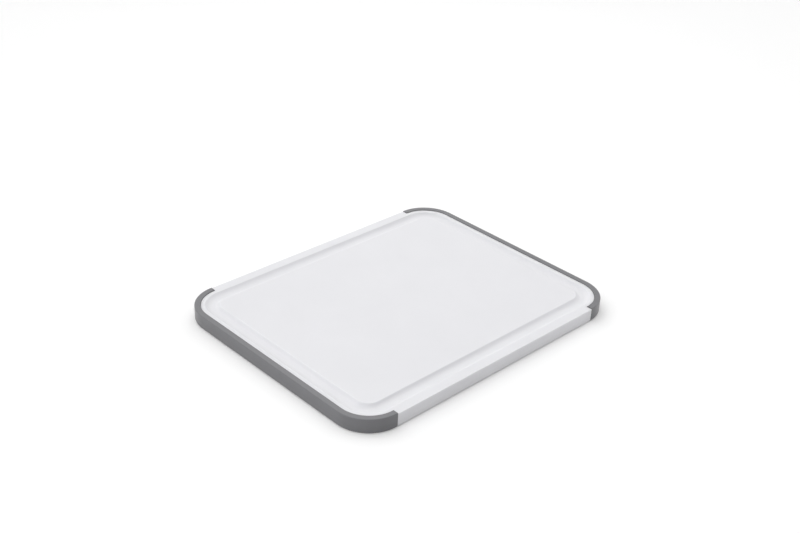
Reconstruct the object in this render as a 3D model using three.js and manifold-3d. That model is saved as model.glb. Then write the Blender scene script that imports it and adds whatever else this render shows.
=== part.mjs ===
// Plastic cutting board: a white moulded panel with a juice trench round its top, and two
// soft grey grips moulded over its short ends, which hold it still and lift it off the worktop.
// Millimetres, +Z up. X runs along the board and Y across it. The origin is the middle of the
// footprint, on the surface that the grips stand on.
import * as THREE from 'three';
import { mergeVertices } from 'three/addons/utils/BufferGeometryUtils.js';
import Module from 'manifold-3d';

// Overall size, over the grips
const boardLength = 250;
const boardWidth = 200;
const cornerRadius = 27.4;

// Panel
const panelThickness = 9.7;
const panelEdgeRadius = 0.3;

// Juice trench, which follows the outline all the way round
const rimLand = 2.6; // flat rim between a grip's lip and the trench
const trenchDepth = 2;
const trenchOuterRadius = 8; // hollow curve from the rim down to the trench's floor
const trenchInnerRadius = 6; // steeper one from the floor up to the cutting face
const trenchFloorWidth = 1.3;

// End grips
const footHeight = 1; // how far a grip stands below the panel's underside
const lipProud = 0.6; // how far a grip stands above the panel's top
const gripTail = 0.7; // straight run along each long side, past the corner
const gripWall = 1.2; // soft wall outside the panel's tongue
const gripEdgeRadius = 0.7; // outer edge of the upper lip
const gripFootRadius = 2; // outer edge of the foot
const gripLipRadius = 0.4; // inner edges of the upper lip and of the foot

// Tongue along each end of the panel, which a grip is moulded over, and its locking slots
const tongueThickness = 4;
const lockSlotWidth = 1.5;
const lockSlotLength = 6;
const lockSlotPitch = 20;
const lockSlotWeb = 0.9; // panel material left on either side of a slot
const bondGap = 0.3; // clearance between a grip and the panel all along their joint

// Fineness of the curves, in steps
const cornerSteps = 10;
const edgeSteps = 4;
const trenchSteps = 5;
const slotSteps = 6;

const leastCornerRadius = 0.5; // an inner outline's corners never get sharper than this
const cutMargin = 1; // a cutting shape reaches this far past what it cuts

// Sizes that follow from the ones above. An inset is measured inwards from the overall outline.
const panelBottom = footHeight;
const panelTop = panelBottom + panelThickness;
const gripHeight = panelTop + lipProud;
const tongueReach = lockSlotWidth + 2 * lockSlotWeb;
const tongueTipInset = gripWall + bondGap;
const shoulderInset = tongueTipInset + tongueReach;
const gripLip = shoulderInset - bondGap;
const tongueBottom = panelBottom + (panelThickness - tongueThickness) / 2;
const tongueTop = tongueBottom + tongueThickness;
const channelBottom = tongueBottom - bondGap;
const channelTop = tongueTop + bondGap;
const trenchOuterRun = Math.sqrt(trenchDepth * (2 * trenchOuterRadius - trenchDepth));
const trenchInnerRun = Math.sqrt(trenchDepth * (2 * trenchInnerRadius - trenchDepth));
const trenchFloorOuterInset = shoulderInset + rimLand + trenchOuterRun;
const trenchFloorInnerInset = trenchFloorOuterInset + trenchFloorWidth;
const lockSlotX = boardLength / 2 - tongueTipInset - tongueReach / 2;

const quarterTurn = Math.PI / 2;
const wasm = await Module();
wasm.setup();

// Points of an arc in a section, whose axes are the inset and the height.
function sectionArc(inset, height, radius, from, to, steps) {
  return Array.from({ length: steps + 1 }, (_, step) => {
    const angle = from + ((to - from) * step) / steps;
    return new THREE.Vector2(inset + radius * Math.cos(angle), height + radius * Math.sin(angle));
  });
}

// Places round one corner of the outline, in the order that runs anticlockwise from above.
function cornerPlaces(signX, signY, from) {
  return Array.from({ length: cornerSteps + 1 }, (_, step) => {
    const angle = from + (quarterTurn * step) / cornerSteps;
    return { signX, signY, angle, tail: 0 };
  });
}

// The point at an inset and a height on one place of the outline.
function pointAt(place, inset, height) {
  const radius = Math.max(cornerRadius - inset, leastCornerRadius);
  const centreX = place.signX * (boardLength / 2 - inset - radius - place.tail);
  const centreY = place.signY * (boardWidth / 2 - inset - radius);
  return [centreX + radius * Math.cos(place.angle), centreY + radius * Math.sin(place.angle), height];
}

// A closed skin through loops of points, with a flat cap on the first loop and on the last.
function loft(loops, flatLoop) {
  const count = flatLoop.length;
  const index = [];
  for (let row = 0; row + 1 < loops.length; row++) {
    for (let i = 0; i < count; i++) {
      const here = row * count + i;
      const beside = row * count + ((i + 1) % count);
      index.push(here, beside, beside + count);
      index.push(here, beside + count, here + count);
    }
  }
  const last = (loops.length - 1) * count;
  for (const [a, b, c] of THREE.ShapeUtils.triangulateShape(flatLoop, [])) {
    index.push(a, c, b);
    index.push(last + a, last + b, last + c);
  }
  const geometry = new THREE.BufferGeometry();
  geometry.setAttribute('position', new THREE.Float32BufferAttribute(loops.flat(2), 3));
  geometry.setIndex(index);
  return geometry;
}

// A solid whose profile, from the middle of its underside to the middle of its top, is
// carried all the way round the outline.
function roundOutline(profile) {
  const places = [
    ...cornerPlaces(1, -1, -quarterTurn),
    ...cornerPlaces(1, 1, 0),
    ...cornerPlaces(-1, 1, quarterTurn),
    ...cornerPlaces(-1, -1, 2 * quarterTurn),
  ];
  const loops = profile.map(({ x: inset, y: height }) => places.map((place) => pointAt(place, inset, height)));
  const flatLoop = loops[0].map(([x, y]) => new THREE.Vector2(x, y));
  return loft(loops, flatLoop);
}

// A solid whose closed section is carried round the +X end, from a tail along one long side
// to a tail along the other.
function roundEnd(section, tail) {
  const places = [
    { signX: 1, signY: -1, angle: -quarterTurn, tail },
    ...cornerPlaces(1, -1, -quarterTurn),
    ...cornerPlaces(1, 1, 0),
    { signX: 1, signY: 1, angle: quarterTurn, tail },
  ];
  const loops = places.map((place) => section.map(({ x: inset, y: height }) => pointAt(place, inset, height)));
  return loft(loops, section);
}

// An upright bar with round ends, its length along Y, centred on a slot's place.
function slotBar(width, length, bottom, top, y) {
  const straight = (length - width) / 2;
  const shape = new THREE.Shape();
  shape.absarc(0, straight, width / 2, 0, Math.PI);
  shape.absarc(0, -straight, width / 2, Math.PI, 2 * Math.PI);
  const bar = new THREE.ExtrudeGeometry(shape, {
    depth: top - bottom,
    bevelEnabled: false,
    curveSegments: slotSteps,
  });
  return bar.translate(lockSlotX, y, bottom);
}

// The slots' places along an end: as many as its straight run takes.
function lockSlotPlaces() {
  const straightRun = boardWidth - 2 * cornerRadius;
  const count = 1 + Math.floor((straightRun - lockSlotLength) / lockSlotPitch);
  return Array.from({ length: count }, (_, i) => (i - (count - 1) / 2) * lockSlotPitch);
}

function toSolid(geometry) {
  const bare = geometry.clone();
  bare.deleteAttribute('normal');
  bare.deleteAttribute('uv');
  const merged = mergeVertices(bare);
  const mesh = new wasm.Mesh({
    numProp: 3,
    vertProperties: merged.attributes.position.array,
    triVerts: Uint32Array.from(merged.index.array),
  });
  return new wasm.Manifold(mesh);
}

function toGeometry(solid) {
  const { vertProperties, triVerts } = solid.getMesh();
  const geometry = new THREE.BufferGeometry();
  geometry.setAttribute('position', new THREE.BufferAttribute(vertProperties, 3));
  geometry.setIndex(new THREE.BufferAttribute(triVerts, 1));
  geometry.computeVertexNormals();
  return geometry;
}

// Panel: rounded edges, the rim, the trench's two hollow walls and the raised cutting face,
// less the room that each grip takes round the tongue, and the tongue's slots.
function panelGeometry() {
  const edge = panelEdgeRadius;
  const trenchFloor = panelTop - trenchDepth;
  const outerAngle = Math.asin(trenchOuterRun / trenchOuterRadius);
  const innerAngle = Math.asin(trenchInnerRun / trenchInnerRadius);
  const floorAngle = 3 * quarterTurn;
  const profile = [
    ...sectionArc(edge, panelBottom + edge, edge, floorAngle, Math.PI, edgeSteps),
    ...sectionArc(edge, panelTop - edge, edge, Math.PI, quarterTurn, edgeSteps),
    ...sectionArc(
      trenchFloorOuterInset,
      trenchFloor + trenchOuterRadius,
      trenchOuterRadius,
      floorAngle - outerAngle,
      floorAngle,
      trenchSteps,
    ),
    ...sectionArc(
      trenchFloorInnerInset,
      trenchFloor + trenchInnerRadius,
      trenchInnerRadius,
      floorAngle,
      floorAngle + innerAngle,
      trenchSteps,
    ),
  ];
  const rebateSection = [
    new THREE.Vector2(-cutMargin, panelBottom - cutMargin),
    new THREE.Vector2(shoulderInset, panelBottom - cutMargin),
    new THREE.Vector2(shoulderInset, tongueBottom),
    new THREE.Vector2(tongueTipInset, tongueBottom),
    new THREE.Vector2(tongueTipInset, tongueTop),
    new THREE.Vector2(shoulderInset, tongueTop),
    new THREE.Vector2(shoulderInset, panelTop + cutMargin),
    new THREE.Vector2(-cutMargin, panelTop + cutMargin),
  ];
  const endCuts = [roundEnd(rebateSection, gripTail + bondGap)];
  for (const y of lockSlotPlaces()) {
    const bottom = tongueBottom - cutMargin;
    const top = tongueTop + cutMargin;
    endCuts.push(slotBar(lockSlotWidth, lockSlotLength, bottom, top, y));
  }
  let panel = toSolid(roundOutline(profile));
  for (const cut of endCuts) {
    panel = panel.subtract(toSolid(cut));
    panel = panel.subtract(toSolid(cut.clone().rotateZ(Math.PI)));
  }
  return toGeometry(panel);
}

// End grip: a soft channel over the tongue, with rounded lips, and a peg through each slot.
function gripGeometry() {
  const outer = gripEdgeRadius;
  const foot = gripFootRadius;
  const inner = gripLipRadius;
  const section = [
    ...sectionArc(foot, foot, foot, Math.PI, 3 * quarterTurn, edgeSteps),
    ...sectionArc(gripLip - inner, inner, inner, -quarterTurn, 0, edgeSteps),
    new THREE.Vector2(gripLip, channelBottom),
    new THREE.Vector2(gripWall, channelBottom),
    new THREE.Vector2(gripWall, channelTop),
    new THREE.Vector2(gripLip, channelTop),
    ...sectionArc(gripLip - inner, gripHeight - inner, inner, 0, quarterTurn, edgeSteps),
    ...sectionArc(outer, gripHeight - outer, outer, quarterTurn, Math.PI, edgeSteps),
  ];
  const pegWidth = lockSlotWidth - 2 * bondGap;
  const pegLength = lockSlotLength - 2 * bondGap;
  const pegBottom = channelBottom / 2;
  const pegTop = (channelTop + gripHeight) / 2;
  let grip = toSolid(roundEnd(section, gripTail));
  for (const y of lockSlotPlaces()) {
    grip = grip.add(toSolid(slotBar(pegWidth, pegLength, pegBottom, pegTop, y)));
  }
  return toGeometry(grip);
}

const whitePlastic = new THREE.MeshStandardMaterial({ color: 0xe9e9eb, roughness: 0.5, metalness: 0 });
const greyRubber = new THREE.MeshStandardMaterial({ color: 0x737376, roughness: 0.4, metalness: 0 });

const panel = new THREE.Mesh(panelGeometry(), whitePlastic);
panel.name = 'cutting_panel';

const endGrip = gripGeometry();
const rightGrip = new THREE.Mesh(endGrip, greyRubber);
rightGrip.name = 'right_end_grip';
const leftGrip = new THREE.Mesh(endGrip, greyRubber);
leftGrip.name = 'left_end_grip';
leftGrip.rotation.z = Math.PI;

const board = new THREE.Group();
board.add(panel, rightGrip, leftGrip);

export default board;
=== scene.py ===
import math

import bmesh
import bpy
from mathutils import Matrix, Vector


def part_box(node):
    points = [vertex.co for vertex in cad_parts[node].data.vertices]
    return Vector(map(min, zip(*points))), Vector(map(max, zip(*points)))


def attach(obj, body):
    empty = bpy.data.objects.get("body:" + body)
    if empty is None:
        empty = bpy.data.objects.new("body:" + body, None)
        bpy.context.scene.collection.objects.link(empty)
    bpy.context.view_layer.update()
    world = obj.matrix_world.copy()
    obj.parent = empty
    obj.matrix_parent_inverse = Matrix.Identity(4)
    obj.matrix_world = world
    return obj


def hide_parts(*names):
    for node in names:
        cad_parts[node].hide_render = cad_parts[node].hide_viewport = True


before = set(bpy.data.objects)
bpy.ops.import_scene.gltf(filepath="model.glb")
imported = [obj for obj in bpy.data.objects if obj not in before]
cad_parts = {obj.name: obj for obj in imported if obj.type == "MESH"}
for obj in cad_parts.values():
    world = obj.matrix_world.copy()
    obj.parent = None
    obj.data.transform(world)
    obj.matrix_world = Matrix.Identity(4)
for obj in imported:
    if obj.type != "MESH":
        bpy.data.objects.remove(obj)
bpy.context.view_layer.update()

# Cutting panel
# The white board itself: one solid moulding in polypropylene, with a hollow juice trench round its
# top. Each end is cut back to a thin tongue with a row of slots, which a grip is moulded over.
mm = 0.001
same_place = 0.01 * mm
flat_enough = 0.999
panel_low, panel_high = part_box("cutting_panel")
grip_low, grip_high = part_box("right_end_grip")
half_length = grip_high.x
half_width = grip_high.y
corner_radius = 27.4 * mm
corner_steps = 32
panel_edge_radius = 0.3 * mm
panel_edge_steps = 4
support_inset = 0.3 * mm


def start_piece(name):
    """Names the primitive that was just added, settles its place in its mesh and opens it."""
    piece = bpy.context.object
    piece.name = name
    piece.data.name = name
    bpy.ops.object.transform_apply(location=True, rotation=True, scale=True)
    bpy.ops.object.mode_set(mode="EDIT")
    return piece


def add_block(name, low, high):
    """A box between two corners, left open for shaping."""
    bpy.ops.object.select_all(action="DESELECT")
    bpy.ops.mesh.primitive_cube_add(size=1, location=(low + high) / 2, scale=high - low)
    return start_piece(name)


def pick(kind, test):
    """Selects only the faces, edges or points of the open mesh that pass the test."""
    bpy.ops.mesh.select_mode(type=kind)
    bpy.ops.mesh.select_all(action="DESELECT")
    opened = bpy.context.edit_object.data
    shape = bmesh.from_edit_mesh(opened)
    elements = {"FACE": shape.faces, "EDGE": shape.edges, "VERT": shape.verts}[kind]
    for element in elements:
        if test(element):
            element.select_set(True)
    shape.select_flush_mode()
    bmesh.update_edit_mesh(opened)


def is_upright(edge):
    start, end = (point.co for point in edge.verts)
    return (start.xy - end.xy).length < same_place


def is_level(edge):
    start, end = (point.co for point in edge.verts)
    return abs(start.z - end.z) < same_place


# A block with round corners and softly broken edges. A narrow band of faces beside each broken
# edge keeps the shading of the flat faces flat.
panel_block_low = Vector((-half_length, -half_width, panel_low.z))
panel_block_high = Vector((half_length, half_width, panel_high.z))
panel = add_block("polypropylene_panel", panel_block_low, panel_block_high)
pick("EDGE", is_upright)
bpy.ops.mesh.bevel(offset=corner_radius, segments=corner_steps, affect="EDGES")
pick("EDGE", is_level)
bpy.ops.mesh.bevel(offset=panel_edge_radius, segments=panel_edge_steps, affect="EDGES")
pick("FACE", lambda face: face.normal.z < -flat_enough)
bpy.ops.mesh.inset(thickness=support_inset)
pick("FACE", lambda face: face.normal.z > flat_enough)
bpy.ops.mesh.inset(thickness=support_inset)

# The juice trench follows the outline all the way round. Its inner wall is the steeper one.
shoulder_inset = 4.65 * mm
trench_outer_inset = 7.4 * mm
trench_depth = 2 * mm
trench_outer_radius = 7.2 * mm
trench_inner_radius = 5.2 * mm
trench_edge_radius = 0.8 * mm
trench_floor_width = 1.3 * mm
trench_wall_steps = 10
trench_edge_steps = 4


def trench_wall(hollow_radius):
    """Runs and heights down one wall of the trench: a small round edge, then a hollow curve that
    reaches the floor level."""
    reach = hollow_radius + trench_edge_radius
    steepest = math.acos((reach - trench_depth) / reach)
    floor_height = panel_high.z - trench_depth
    wall = []
    for step in range(trench_edge_steps + 1):
        angle = steepest * step / trench_edge_steps
        drop = trench_edge_radius * (1 - math.cos(angle))
        wall.append((trench_edge_radius * math.sin(angle), panel_high.z - drop))
    for step in range(1, trench_wall_steps + 1):
        angle = steepest * (1 - step / trench_wall_steps)
        run = reach * math.sin(steepest) - hollow_radius * math.sin(angle)
        wall.append((run, floor_height + hollow_radius * (1 - math.cos(angle))))
    return wall


def trench_profile():
    """Insets and heights across the trench, from the rim down to the floor and up to the middle."""
    outer_wall = trench_wall(trench_outer_radius)
    inner_wall = trench_wall(trench_inner_radius)
    end = trench_outer_inset + outer_wall[-1][0] + trench_floor_width + inner_wall[-1][0]
    down = [(trench_outer_inset + run, height) for run, height in outer_wall]
    up = [(end - run, height) for run, height in reversed(inner_wall)]
    return down + up


inset_so_far = panel_edge_radius + support_inset
height_so_far = panel_high.z
for inset, height in [(shoulder_inset, panel_high.z), *trench_profile()]:
    bpy.ops.mesh.inset(thickness=inset - inset_so_far, depth=height - height_so_far)
    inset_so_far = inset
    height_so_far = height
bpy.ops.mesh.inset(thickness=support_inset)
bpy.ops.object.mode_set(mode="OBJECT")

# Each end is cut back above, below and at its tip, which leaves the tongue with its row of slots.
tongue_tip_inset = half_length - panel_high.x
tongue_thickness = 4 * mm
tongue_bottom = (panel_low.z + panel_high.z - tongue_thickness) / 2
tongue_top = tongue_bottom + tongue_thickness
lock_slot_width = 1.5 * mm
lock_slot_length = 6 * mm
lock_slot_pitch = 20 * mm
lock_slot_count = 7
lock_slot_steps = 8
nearly_full_round = 0.999
lock_slot_x = half_length - (tongue_tip_inset + shoulder_inset) / 2
grip_tail = half_length - corner_radius - grip_low.x
bond_gap = 0.02 * mm
cut_margin = 1 * mm


def add_channel_section(outer, wall, lip, bottom, channel_bottom, channel_top, top, tail):
    """A C-shaped face across the end's front tail, open towards the panel. Insets are from the
    board's outline: a strip of wall is cut at the channel's two levels, and the parts above and
    below the channel are drawn out to the lip."""
    bpy.ops.object.select_all(action="DESELECT")
    strip_x = half_length - corner_radius - tail
    middle = (strip_x, (outer + wall) / 2 - half_width, (bottom + top) / 2)
    bpy.ops.mesh.primitive_plane_add(size=1, location=middle, rotation=(0, math.pi / 2, 0))
    bpy.context.object.scale = (top - bottom, wall - outer, 1)
    section = start_piece("channel_section")
    for level in (channel_bottom, channel_top):
        bpy.ops.mesh.select_all(action="SELECT")
        bpy.ops.mesh.bisect(plane_co=(0, 0, level), plane_no=(0, 0, 1))

    def is_lip_root(edge):
        inner = all(abs(point.co.y - wall + half_width) < same_place for point in edge.verts)
        height = sum(point.co.z for point in edge.verts) / 2
        return inner and not channel_bottom < height < channel_top

    pick("EDGE", is_lip_root)
    bpy.ops.mesh.extrude_edges_move(TRANSFORM_OT_translate={"value": (0, lip - wall, 0)})
    bpy.ops.mesh.select_mode(type="FACE")
    bpy.ops.mesh.select_all(action="SELECT")
    bpy.ops.mesh.dissolve_faces()
    return section


sorting_line = Vector((1, math.sqrt(2), math.sqrt(3)))


def tidy_skin():
    """Merges doubled points and turns every face of the open mesh outwards. A cut leaves its points
    in an order that changes from run to run, so they are first put in order along a slanting line,
    and the same ones are merged each time."""
    opened = bpy.context.edit_object.data
    shape = bmesh.from_edit_mesh(opened)
    shape.verts.sort(key=lambda point: point.co.dot(sorting_line))
    bmesh.update_edit_mesh(opened)
    bpy.ops.mesh.select_all(action="SELECT")
    bpy.ops.mesh.remove_doubles(threshold=same_place)
    bpy.ops.mesh.normals_make_consistent(inside=False)


def carry_round_end(tail):
    """Carries the open section from the front tail round the +X end to the back tail. The straight
    run has one step for each lock slot, so every peg meets faces of its own."""
    corner_x = half_length - corner_radius
    corner_y = half_width - corner_radius
    turn = {"steps": corner_steps, "angle": -math.pi / 2, "axis": (0, 0, 1)}
    straight_step = (0, 2 * corner_y / lock_slot_count, 0)
    bpy.ops.mesh.select_mode(type="FACE")
    bpy.ops.mesh.select_all(action="SELECT")
    bpy.ops.mesh.extrude_region_move(TRANSFORM_OT_translate={"value": (tail, 0, 0)})
    bpy.ops.mesh.spin(center=(corner_x, -corner_y, 0), **turn)
    for _ in range(lock_slot_count):
        bpy.ops.mesh.extrude_region_move(TRANSFORM_OT_translate={"value": straight_step})
    bpy.ops.mesh.spin(center=(corner_x, corner_y, 0), **turn)
    bpy.ops.mesh.extrude_region_move(TRANSFORM_OT_translate={"value": (-tail, 0, 0)})
    tidy_skin()


def add_lock_bars(name, gap, bottom, top):
    """A row of upright bars with round ends at the +X end's slots, thinner all round by a gap."""
    bars = []
    for place in range(lock_slot_count):
        y = (place - (lock_slot_count - 1) / 2) * lock_slot_pitch
        half_size = Vector((lock_slot_width / 2 - gap, lock_slot_length / 2 - gap, 0))
        centre = Vector((lock_slot_x, y, 0))
        low = centre - half_size + Vector((0, 0, bottom))
        high = centre + half_size + Vector((0, 0, top))
        bars.append(add_block(name, low, high))
        pick("EDGE", is_upright)
        end_radius = half_size.x * nearly_full_round
        bpy.ops.mesh.bevel(offset=end_radius, segments=lock_slot_steps, affect="EDGES")
        bpy.ops.object.mode_set(mode="OBJECT")
    for bar in bars:
        bar.select_set(True)
    bpy.ops.object.join()
    return bpy.context.object


def select_only(piece):
    """Selects one piece and makes it the one that operators act on."""
    bpy.ops.object.select_all(action="DESELECT")
    piece.select_set(True)
    bpy.context.view_layer.objects.active = piece


def copy_turned(piece, name):
    """A copy with its own mesh, turned half round to the board's other end."""
    select_only(piece)
    bpy.ops.object.duplicate(linked=False)
    copy = bpy.context.object
    copy.name = name
    copy.data.name = name
    copy.rotation_euler.z = math.pi
    bpy.ops.object.transform_apply(location=False, rotation=True, scale=False)
    return copy


def combine(piece, tool, operation):
    """Cuts the tool from the piece or joins it on, takes the tool away and tidies the skin."""
    select_only(piece)
    bpy.ops.object.modifier_add(type="BOOLEAN")
    modifier = piece.modifiers[-1]
    modifier.operation = operation
    modifier.solver = "EXACT"
    modifier.object = tool
    bpy.ops.object.modifier_apply(modifier=modifier.name)
    bpy.data.objects.remove(tool)
    bpy.ops.object.mode_set(mode="EDIT")
    tidy_skin()
    bpy.ops.object.mode_set(mode="OBJECT")


end_cut = add_channel_section(
    outer=-cut_margin,
    wall=tongue_tip_inset,
    lip=shoulder_inset,
    bottom=panel_low.z - cut_margin,
    channel_bottom=tongue_bottom,
    channel_top=tongue_top,
    top=panel_high.z + cut_margin,
    tail=grip_tail + bond_gap,
)
carry_round_end(grip_tail + bond_gap)
bpy.ops.object.mode_set(mode="OBJECT")
slot_cut = add_lock_bars("slot_cut", 0, tongue_bottom - cut_margin, tongue_top + cut_margin)
for cut in (end_cut, slot_cut):
    other_cut = copy_turned(cut, "other_" + cut.name)
    combine(panel, cut, "DIFFERENCE")
    combine(panel, other_cut, "DIFFERENCE")

smooth_angle = math.radians(25)


def smooth_piece(piece):
    """Shades the curves smooth, and keeps flat faces flat up to their edges."""
    select_only(piece)
    bpy.ops.object.shade_smooth_by_angle(angle=smooth_angle)
    bpy.ops.object.modifier_add(type="WEIGHTED_NORMAL")
    modifier = piece.modifiers[-1]
    modifier.keep_sharp = True
    bpy.ops.object.modifier_apply(modifier=modifier.name)


smooth_piece(panel)


def linear_colour(hex_code):
    """An sRGB hex value as the linear colour that the shaders take."""
    channels = [int(hex_code[place:place + 2], 16) / 255 for place in (1, 3, 5)]
    linear = [c / 12.92 if c <= 0.04045 else ((c + 0.055) / 1.055) ** 2.4 for c in channels]
    return (*linear, 1)


def add_node(tree, kind, settings, inputs):
    """Adds a node, sets its properties, and gives each input its value or the socket it reads."""
    node = tree.nodes.new(kind)
    for name, value in settings.items():
        setattr(node, name, value)
    for name, value in inputs.items():
        if isinstance(value, bpy.types.NodeSocket):
            tree.links.new(value, node.inputs[name])
        else:
            node.inputs[name].default_value = value
    return node


def start_material(name):
    """A material with an empty node tree, and its tree."""
    material = bpy.data.materials.new(name)
    material.use_nodes = True
    material.node_tree.nodes.clear()
    return material, material.node_tree


def moulded_finish(tree, colours, cloud_size, cloud_detail, grain_size, grain_height, roughness):
    """What moulded surfaces share: faint clouds between two tints, and a fine grain that gives the
    skin its relief and varies its roughness between two values."""
    grain_detail = 2.0
    place = add_node(tree, "ShaderNodeTexCoord", {}, {}).outputs["Object"]
    clouds = add_node(
        tree,
        "ShaderNodeTexNoise",
        {},
        {"Vector": place, "Scale": 1 / cloud_size, "Detail": cloud_detail},
    )
    darker, lighter = (linear_colour(hex_code) for hex_code in colours)
    tint = add_node(
        tree,
        "ShaderNodeMix",
        {"data_type": "RGBA"},
        {"Factor": clouds.outputs["Fac"], "A": darker, "B": lighter},
    )
    grain = add_node(
        tree,
        "ShaderNodeTexNoise",
        {},
        {"Vector": place, "Scale": 1 / grain_size, "Detail": grain_detail},
    )
    relief = add_node(
        tree,
        "ShaderNodeBump",
        {},
        {"Strength": 1.0, "Distance": grain_height, "Height": grain.outputs["Fac"]},
    )
    smoothest, roughest = roughness
    gloss = add_node(
        tree,
        "ShaderNodeMapRange",
        {},
        {"Value": grain.outputs["Fac"], "To Min": smoothest, "To Max": roughest},
    )
    return {
        "Base Color": tint.outputs["Result"],
        "Roughness": gloss.outputs["Result"],
        "Normal": relief.outputs["Normal"],
    }


# Polypropylene from a spark-eroded mould: slightly cool white, satin, a little translucent, with
# a fine even grain that breaks up the shine. The grain is drawn coarser than it is, to show.
panel_whites = ("#dfdfe2", "#e3e3e6")
panel_cloud_size = 30 * mm
panel_cloud_detail = 2.0
panel_grain_size = 0.9 * mm
panel_grain_height = 0.012 * mm
panel_roughness = (0.42, 0.54)
panel_ior = 1.49
panel_light_reach = 2 * mm
panel_material, tree = start_material("moulded_polypropylene")
panel_finish = moulded_finish(
    tree,
    panel_whites,
    panel_cloud_size,
    panel_cloud_detail,
    panel_grain_size,
    panel_grain_height,
    panel_roughness,
)
surface = add_node(
    tree,
    "ShaderNodeBsdfPrincipled",
    {},
    {
        **panel_finish,
        "IOR": panel_ior,
        "Subsurface Weight": 1.0,
        "Subsurface Radius": (1, 1, 1),
        "Subsurface Scale": panel_light_reach,
    },
)
add_node(tree, "ShaderNodeOutputMaterial", {}, {"Surface": surface.outputs["BSDF"]})
panel.data.materials.clear()
panel.data.materials.append(panel_material)
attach(panel, "root")
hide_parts("cutting_panel")

# End grips
# Two soft grey channels in thermoplastic rubber, moulded over the panel's tongues: a low lip above,
# a foot below, square ends, and pegs that fill the tongue's slots and lock the two together. A fine
# groove shows where each lip has shrunk back a little from the panel's shoulder.
seam_gap = 0.15 * mm
grip_wall = tongue_tip_inset - bond_gap
grip_lip = shoulder_inset - seam_gap
grip_edge_radius = 0.7 * mm
grip_foot_radius = 2 * mm
grip_lip_radius = 0.4 * mm
grip_edge_steps = 8
grip_end_radius = 0.15 * mm
grip_end_steps = 2
grip_channel_bottom = tongue_bottom - bond_gap
grip_channel_top = tongue_top + bond_gap
right_grip = add_channel_section(
    outer=0,
    wall=grip_wall,
    lip=grip_lip,
    bottom=grip_low.z,
    channel_bottom=grip_channel_bottom,
    channel_top=grip_channel_top,
    top=grip_high.z,
    tail=grip_tail,
)
right_grip.name = "rubber_grip_right"


def is_corner_at(inset, height):
    """A test for the section's corner at an inset from the board's outline and a height."""

    def test(point):
        across = abs(point.co.y - inset + half_width) < same_place
        return across and abs(point.co.z - height) < same_place

    return test


grip_corners = (
    (0, grip_high.z, grip_edge_radius),
    (0, grip_low.z, grip_foot_radius),
    (grip_lip, grip_high.z, grip_lip_radius),
    (grip_lip, grip_low.z, grip_lip_radius),
)
for inset, height, radius in grip_corners:
    pick("VERT", is_corner_at(inset, height))
    bpy.ops.mesh.bevel(offset=radius, segments=grip_edge_steps, affect="VERTICES")
carry_round_end(grip_tail)
pick("EDGE", lambda edge: all(abs(point.co.x - grip_low.x) < same_place for point in edge.verts))
bpy.ops.mesh.bevel(offset=grip_end_radius, segments=grip_end_steps, affect="EDGES")
bpy.ops.object.mode_set(mode="OBJECT")
peg_bottom = (grip_low.z + grip_channel_bottom) / 2
peg_top = (grip_channel_top + grip_high.z) / 2
combine(right_grip, add_lock_bars("pegs", bond_gap, peg_bottom, peg_top), "UNION")
smooth_piece(right_grip)

# Thermoplastic rubber from a finely etched mould: neutral mid grey, with a fine grain that gives a
# broad soft sheen and no sharp reflection. The grain is drawn coarser than it is, to show.
grip_greys = ("#6c6c6f", "#707073")
grip_cloud_size = 12 * mm
grip_cloud_detail = 3.0
grip_grain_size = 0.6 * mm
grip_grain_height = 0.02 * mm
grip_roughness = (0.32, 0.4)
grip_ior = 1.5
grip_material, tree = start_material("moulded_thermoplastic_rubber")
grip_finish = moulded_finish(
    tree,
    grip_greys,
    grip_cloud_size,
    grip_cloud_detail,
    grip_grain_size,
    grip_grain_height,
    grip_roughness,
)
surface = add_node(tree, "ShaderNodeBsdfPrincipled", {}, {**grip_finish, "IOR": grip_ior})
add_node(tree, "ShaderNodeOutputMaterial", {}, {"Surface": surface.outputs["BSDF"]})
right_grip.data.materials.clear()
right_grip.data.materials.append(grip_material)
left_grip = copy_turned(right_grip, "rubber_grip_left")
for grip, node in ((right_grip, "right_end_grip"), (left_grip, "left_end_grip")):
    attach(grip, "root")
    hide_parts(node)

# Floor
# A plain white table that runs on past the picture's edges. The camera sees it lifted to white,
# and it still takes the board's shadow and throws light back on the board's sides.
floor_size = 12
floor_white = "#f4f4f4"
floor_lift = 0.105
bpy.ops.object.select_all(action="DESELECT")
bpy.ops.mesh.primitive_plane_add(size=floor_size, location=(0, 0, 0))
floor = bpy.context.object
floor.name = "floor"


def white_to_the_eye(tree):
    """1 for the rays that see the ground as white, from the camera, off a shine or through glass,
    and 0 for light on its way to the board."""
    ray = add_node(tree, "ShaderNodeLightPath", {}, {})
    seen = ray.outputs["Is Camera Ray"]
    for kind in ("Is Glossy Ray", "Is Transmission Ray"):
        either = add_node(
            tree,
            "ShaderNodeMath",
            {"operation": "MAXIMUM"},
            {0: seen, 1: ray.outputs[kind]},
        )
        seen = either.outputs["Value"]
    return seen


# Matt paint on a smooth table top: it scatters light evenly, with no shine.
floor_material, tree = start_material("matt_white_paint")
lift = add_node(
    tree,
    "ShaderNodeMath",
    {"operation": "MULTIPLY"},
    {0: white_to_the_eye(tree), 1: floor_lift},
)
matt = add_node(tree, "ShaderNodeBsdfDiffuse", {}, {"Color": linear_colour(floor_white)})
glow = add_node(tree, "ShaderNodeEmission", {}, {"Strength": lift.outputs["Value"]})
surface = add_node(
    tree,
    "ShaderNodeAddShader",
    {},
    {0: matt.outputs["BSDF"], 1: glow.outputs["Emission"]},
)
add_node(tree, "ShaderNodeOutputMaterial", {}, {"Surface": surface.outputs["Shader"]})
floor.data.materials.append(floor_material)

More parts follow.
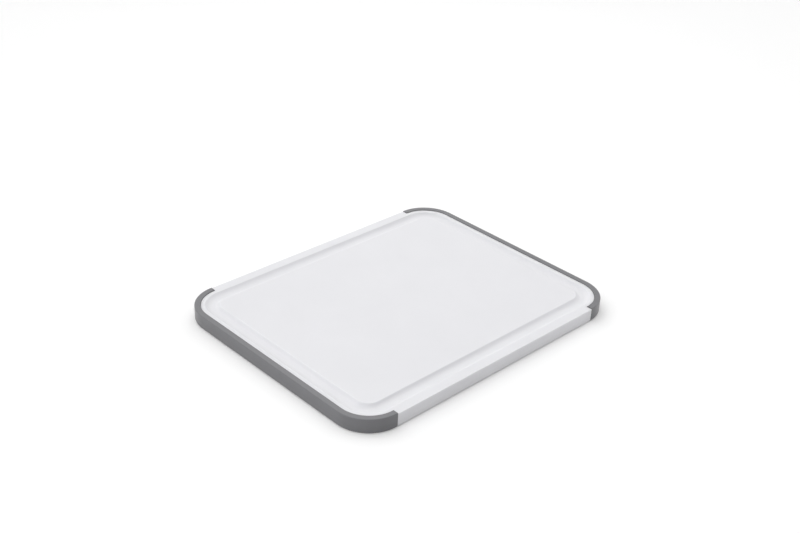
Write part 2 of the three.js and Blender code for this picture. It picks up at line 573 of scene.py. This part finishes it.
# Light
# A white tent all round, and five broad soft lamps: one straight above, and one leaning in from
# the right, the back, the back left and the left. Two weak softboxes soften the shade on the sides
# that face the camera, and one at the back right gives the near grip its sheen.
tent_strength = 0.39
world = bpy.data.worlds.new("white_tent")
bpy.context.scene.world = world
world.use_nodes = True
tree = world.node_tree
tree.nodes.clear()
strength = add_node(
    tree,
    "ShaderNodeMapRange",
    {},
    {"Value": white_to_the_eye(tree), "To Min": tent_strength, "To Max": 1.0},
)
tent = add_node(tree, "ShaderNodeBackground", {}, {"Strength": strength.outputs["Result"]})
add_node(tree, "ShaderNodeOutputWorld", {}, {"Surface": tent.outputs["Background"]})

# Each share is of the light that would bring a white card at the board's place, facing the lamp,
# to full white. Lamps have a lean from upright and a bearing from the right.
lamp_spread = math.radians(60)
lamp_lean = math.radians(50)
lamps = (
    ("lamp_above", 0, 0, 0.27),
    ("lamp_right", lamp_lean, math.radians(0), 0.15),
    ("lamp_back", lamp_lean, math.radians(90), 0.2),
    ("lamp_back_left", lamp_lean, math.radians(135), 0.15),
    ("lamp_left", lamp_lean, math.radians(180), 0.08),
)
for name, lean, bearing, share in lamps:
    bpy.ops.object.light_add(type="SUN")
    lamp = bpy.context.object
    lamp.name = name
    lamp.rotation_euler = (0, lean, bearing)
    lamp.data.energy = share * math.pi
    lamp.data.angle = lamp_spread
softboxes = (
    ("softbox_left", Vector((-420, -70, 140)) * mm, 200 * mm, 0.09),
    ("softbox_front_right", Vector((320, -300, 130)) * mm, 250 * mm, 0.06),
    ("softbox_back_right", Vector((370, 420, 420)) * mm, 300 * mm, 0.07),
)
for name, place, size, share in softboxes:
    bpy.ops.object.light_add(type="AREA", location=place)
    softbox = bpy.context.object
    softbox.name = name
    softbox.rotation_euler = place.to_track_quat("Z", "Y").to_euler()
    softbox.data.size = size
    softbox.data.energy = share * math.pi ** 2 * place.length_squared
    softbox.visible_camera = False

# Camera
# A normal lens, a little under a metre from the board, looks down across its near left corner from
# the photograph's place, with the photograph's slight tilt.
camera_azimuth = math.radians(-44.618)
camera_elevation = math.radians(29.835)
camera_roll = math.radians(2.517)
camera_target = Vector((44.98, 48, 0)) * mm
camera_distance = 935.2 * mm
camera_lens = 53.753
camera_sensor = 36
back = Vector((
    math.sin(camera_azimuth) * math.cos(camera_elevation),
    -math.cos(camera_azimuth) * math.cos(camera_elevation),
    math.sin(camera_elevation),
))
level = Vector((math.cos(camera_azimuth), math.sin(camera_azimuth), 0))
upright = back.cross(level)
right = math.cos(camera_roll) * level + math.sin(camera_roll) * upright
up = back.cross(right)
bpy.ops.object.camera_add(location=camera_target + camera_distance * back)
camera = bpy.context.object
camera.rotation_euler = Matrix((right, up, back)).transposed().to_euler()
camera.data.lens = camera_lens
camera.data.sensor_width = camera_sensor
bpy.context.scene.camera = camera
bpy.context.scene.view_settings.view_transform = "Standard"
